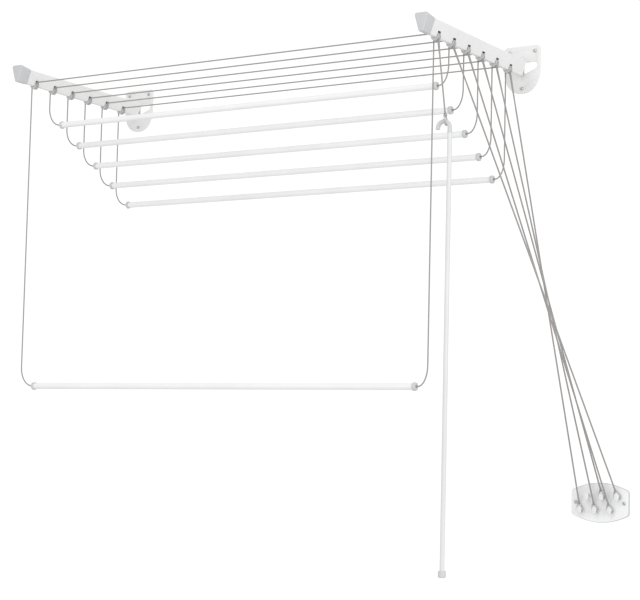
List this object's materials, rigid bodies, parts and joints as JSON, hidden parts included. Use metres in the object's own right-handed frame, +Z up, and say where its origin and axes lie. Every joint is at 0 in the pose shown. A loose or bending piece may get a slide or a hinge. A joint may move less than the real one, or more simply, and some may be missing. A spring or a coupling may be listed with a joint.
{
  "type": "pulley clothes airer",
  "caption": "Wall bracketed clothes airer: two slotted arms with cord sheaves, separately lowered rods, pull rings on a wall cleat and a hooked pull stick.",
  "frame": {"origin": "on the wall face, midway between the arms, level with the axes of the sheaves", "axes": "+X along the rods towards the cleat, +Y into the wall, +Z up"},
  "size_m": [1.6305, 0.5333, 1.342],
  "materials": {
    "white_coat": "smooth white powder coat",
    "white_tube": "glossy white enamel on thin tube",
    "grey_plastic": "satin light grey moulding",
    "sheave_plastic": "satin mid grey moulding",
    "cleat_plastic": "satin pale grey moulding",
    "steel": "zinc plated",
    "cord": "braided cord"
  },
  "bodies": {
    "frame": {"left_arm": "white_coat", "left_arm_cap": "grey_plastic", "left_axle": "steel", "left_bracket": "white_coat", "left_bracket_screw_1": "steel", "left_bracket_screw_2": "steel", "left_bracket_screw_3": "steel", "right_arm": "white_coat", "right_arm_cap": "grey_plastic", "right_axle": "steel", "right_bracket": "white_coat", "right_bracket_screw_1": "steel", "right_bracket_screw_2": "steel", "right_bracket_screw_3": "steel", "cleat_plate": "cleat_plastic", "cord_1": "cord", "cord_2": "cord", "cord_3": "cord", "cord_4": "cord", "cord_5": "cord", "cord_6": "cord"},
    "rod_1_body": {"rod_1": "white_tube", "rod_1_left_cap": "grey_plastic", "rod_1_right_cap": "grey_plastic"},
    "rod_2_body": {"rod_2": "white_tube", "rod_2_left_cap": "grey_plastic", "rod_2_right_cap": "grey_plastic"},
    "rod_3_body": {"rod_3": "white_tube", "rod_3_left_cap": "grey_plastic", "rod_3_right_cap": "grey_plastic"},
    "rod_4_body": {"rod_4": "white_tube", "rod_4_left_cap": "grey_plastic", "rod_4_right_cap": "grey_plastic"},
    "rod_5_body": {"rod_5": "white_tube", "rod_5_left_cap": "grey_plastic", "rod_5_right_cap": "grey_plastic"},
    "rod_6_body": {"rod_6": "white_tube", "rod_6_left_cap": "grey_plastic", "rod_6_right_cap": "grey_plastic"},
    "ring_1_body": {"pull_ring_1": "grey_plastic"},
    "ring_2_body": {"pull_ring_2": "grey_plastic"},
    "ring_3_body": {"pull_ring_3": "grey_plastic"},
    "ring_4_body": {"pull_ring_4": "grey_plastic"},
    "ring_5_body": {"pull_ring_5": "grey_plastic"},
    "ring_6_body": {"pull_ring_6": "grey_plastic"},
    "left_sheave_1_body": {"left_sheave_1": "sheave_plastic"},
    "left_sheave_2_body": {"left_sheave_2": "sheave_plastic"},
    "left_sheave_3_body": {"left_sheave_3": "sheave_plastic"},
    "left_sheave_4_body": {"left_sheave_4": "sheave_plastic"},
    "left_sheave_5_body": {"left_sheave_5": "sheave_plastic"},
    "left_sheave_6_body": {"left_sheave_6": "sheave_plastic"},
    "right_sheave_1_body": {"right_sheave_1": "sheave_plastic"},
    "right_sheave_2_body": {"right_sheave_2": "sheave_plastic"},
    "right_sheave_3_body": {"right_sheave_3": "sheave_plastic"},
    "right_sheave_4_body": {"right_sheave_4": "sheave_plastic"},
    "right_sheave_5_body": {"right_sheave_5": "sheave_plastic"},
    "right_sheave_6_body": {"right_sheave_6": "sheave_plastic"},
    "stick_body": {"stick_hook": "grey_plastic", "stick_pole": "white_tube", "stick_foot": "grey_plastic"}
  },
  "joints": [
    {"name": "rod_1_lift", "type": "slide", "parent": "frame", "child": "rod_1_body", "axis": [0, 0, 1], "range_m": [-0.15, 0.7], "deforming": ["cord_1"]},
    {"name": "rod_2_lift", "type": "slide", "parent": "frame", "child": "rod_2_body", "axis": [0, 0, 1], "range_m": [-0.73, 0], "deforming": ["cord_2"]},
    {"name": "rod_3_lift", "type": "slide", "parent": "frame", "child": "rod_3_body", "axis": [0, 0, 1], "range_m": [-0.6835, 0], "deforming": ["cord_3"]},
    {"name": "rod_4_lift", "type": "slide", "parent": "frame", "child": "rod_4_body", "axis": [0, 0, 1], "range_m": [-0.637, 0], "deforming": ["cord_4"]},
    {"name": "rod_5_lift", "type": "slide", "parent": "frame", "child": "rod_5_body", "axis": [0, 0, 1], "range_m": [-0.5905, 0], "deforming": ["cord_5"]},
    {"name": "rod_6_lift", "type": "slide", "parent": "frame", "child": "rod_6_body", "axis": [0, 0, 1], "range_m": [-0.544, 0], "deforming": ["cord_6"]},
    {"name": "ring_1_pull", "type": "slide", "parent": "frame", "child": "ring_1_body", "axis": [-0.1147, 0, 0.9934], "range_m": [-0.701, 0.151], "deforming": ["cord_1"]},
    {"name": "ring_2_pull", "type": "slide", "parent": "frame", "child": "ring_2_body", "axis": [-0.2341, -0.3145, 0.9199], "range_m": [-0.001, 0.731], "deforming": ["cord_2"]},
    {"name": "ring_3_pull", "type": "slide", "parent": "frame", "child": "ring_3_body", "axis": [-0.217, -0.2496, 0.9437], "range_m": [-0.001, 0.6845], "deforming": ["cord_3"]},
    {"name": "ring_4_pull", "type": "slide", "parent": "frame", "child": "ring_4_body", "axis": [-0.2088, -0.195, 0.9583], "range_m": [-0.001, 0.638], "deforming": ["cord_4"]},
    {"name": "ring_5_pull", "type": "slide", "parent": "frame", "child": "ring_5_body", "axis": [-0.1893, -0.1266, 0.9737], "range_m": [-0.001, 0.5915], "deforming": ["cord_5"]},
    {"name": "ring_6_pull", "type": "slide", "parent": "frame", "child": "ring_6_body", "axis": [-0.1563, -0.0617, 0.9858], "range_m": [-0.001, 0.545], "deforming": ["cord_6"]},
    {"name": "left_sheave_1_spin", "type": "hinge", "parent": "frame", "child": "left_sheave_1_body", "pos_m": [-0.635, -0.46, 0.00281], "axis": [0, 1, 0], "range_deg": [-1228.8, 5730.6]},
    {"name": "left_sheave_2_spin", "type": "hinge", "parent": "frame", "child": "left_sheave_2_body", "pos_m": [-0.635, -0.385, 0.00169], "axis": [0, 1, 0], "range_deg": [-5976.1, 1]},
    {"name": "left_sheave_3_spin", "type": "hinge", "parent": "frame", "child": "left_sheave_3_body", "pos_m": [-0.635, -0.31, 0.00056], "axis": [0, 1, 0], "range_deg": [-5595.5, 1]},
    {"name": "left_sheave_4_spin", "type": "hinge", "parent": "frame", "child": "left_sheave_4_body", "pos_m": [-0.635, -0.235, -0.00056], "axis": [0, 1, 0], "range_deg": [-5214.9, 1]},
    {"name": "left_sheave_5_spin", "type": "hinge", "parent": "frame", "child": "left_sheave_5_body", "pos_m": [-0.635, -0.16, -0.00169], "axis": [0, 1, 0], "range_deg": [-4834.3, 1]},
    {"name": "left_sheave_6_spin", "type": "hinge", "parent": "frame", "child": "left_sheave_6_body", "pos_m": [-0.635, -0.085, -0.00281], "axis": [0, 1, 0], "range_deg": [-4453.7, 1]},
    {"name": "right_sheave_1_spin", "type": "hinge", "parent": "frame", "child": "right_sheave_1_body", "pos_m": [0.635, -0.46, 0.00281], "axis": [0, 1, 0], "range_deg": [-1228.8, 5730.6]},
    {"name": "right_sheave_2_spin", "type": "hinge", "parent": "frame", "child": "right_sheave_2_body", "pos_m": [0.635, -0.385, 0.00169], "axis": [0, 1, 0], "range_deg": [-5976.1, 1]},
    {"name": "right_sheave_3_spin", "type": "hinge", "parent": "frame", "child": "right_sheave_3_body", "pos_m": [0.635, -0.31, 0.00056], "axis": [0, 1, 0], "range_deg": [-5595.5, 1]},
    {"name": "right_sheave_4_spin", "type": "hinge", "parent": "frame", "child": "right_sheave_4_body", "pos_m": [0.635, -0.235, -0.00056], "axis": [0, 1, 0], "range_deg": [-5214.9, 1]},
    {"name": "right_sheave_5_spin", "type": "hinge", "parent": "frame", "child": "right_sheave_5_body", "pos_m": [0.635, -0.16, -0.00169], "axis": [0, 1, 0], "range_deg": [-4834.3, 1]},
    {"name": "right_sheave_6_spin", "type": "hinge", "parent": "frame", "child": "right_sheave_6_body", "pos_m": [0.635, -0.085, -0.00281], "axis": [0, 1, 0], "range_deg": [-4453.7, 1]},
    {"name": "stick_swing", "type": "hinge", "parent": "ring_1_body", "child": "stick_body", "pos_m": [0.66698, -0.46, -0.21344], "axis": [0, 1, 0], "range_deg": [-15, 3]}
  ],
  "couplings": [
    {"joint": "ring_1_pull", "follows": "rod_1_lift", "ratio": -1},
    {"joint": "ring_2_pull", "follows": "rod_2_lift", "ratio": -1},
    {"joint": "ring_3_pull", "follows": "rod_3_lift", "ratio": -1},
    {"joint": "ring_4_pull", "follows": "rod_4_lift", "ratio": -1},
    {"joint": "ring_5_pull", "follows": "rod_5_lift", "ratio": -1},
    {"joint": "ring_6_pull", "follows": "rod_6_lift", "ratio": -1},
    {"joint": "left_sheave_1_spin", "follows": "rod_1_lift", "rad_per_m": 142.86},
    {"joint": "left_sheave_2_spin", "follows": "rod_2_lift", "rad_per_m": 142.86},
    {"joint": "left_sheave_3_spin", "follows": "rod_3_lift", "rad_per_m": 142.86},
    {"joint": "left_sheave_4_spin", "follows": "rod_4_lift", "rad_per_m": 142.86},
    {"joint": "left_sheave_5_spin", "follows": "rod_5_lift", "rad_per_m": 142.86},
    {"joint": "left_sheave_6_spin", "follows": "rod_6_lift", "rad_per_m": 142.86},
    {"joint": "right_sheave_1_spin", "follows": "rod_1_lift", "rad_per_m": 142.86},
    {"joint": "right_sheave_2_spin", "follows": "rod_2_lift", "rad_per_m": 142.86},
    {"joint": "right_sheave_3_spin", "follows": "rod_3_lift", "rad_per_m": 142.86},
    {"joint": "right_sheave_4_spin", "follows": "rod_4_lift", "rad_per_m": 142.86},
    {"joint": "right_sheave_5_spin", "follows": "rod_5_lift", "rad_per_m": 142.86},
    {"joint": "right_sheave_6_spin", "follows": "rod_6_lift", "rad_per_m": 142.86}
  ]
}
